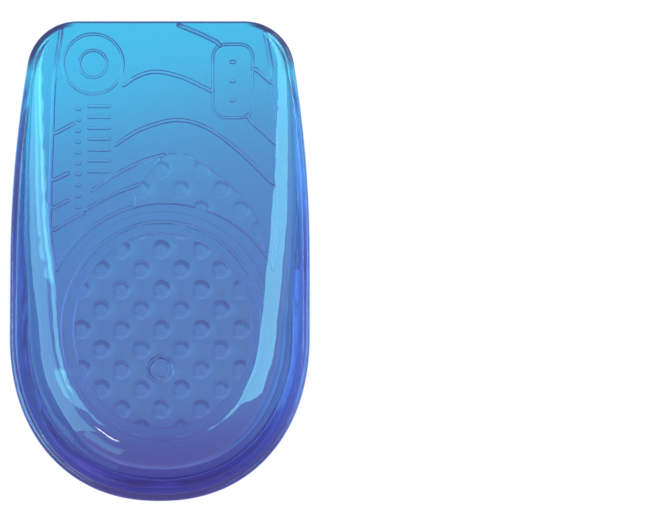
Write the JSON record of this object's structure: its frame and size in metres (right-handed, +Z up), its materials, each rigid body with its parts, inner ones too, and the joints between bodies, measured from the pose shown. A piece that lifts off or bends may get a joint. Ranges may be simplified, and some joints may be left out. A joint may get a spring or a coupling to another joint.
{
  "type": "gel heel cup",
  "caption": "Soft translucent gel heel cup for a left shoe: flat sole with studded pads and grooves, walls rising round the heel, thin front edge.",
  "frame": {"origin": "on the ground under the middle of the cup's box", "axes": "+Y towards the toes, +X to the wearer's right, +Z up out of the hollow"},
  "size_m": [0.0654, 0.105, 0.021],
  "materials": {
    "gel": "soft glossy translucent blue gel"
  },
  "bodies": {
    "root": {"gel_heel_cup": "gel"}
  },
  "joints": []
}
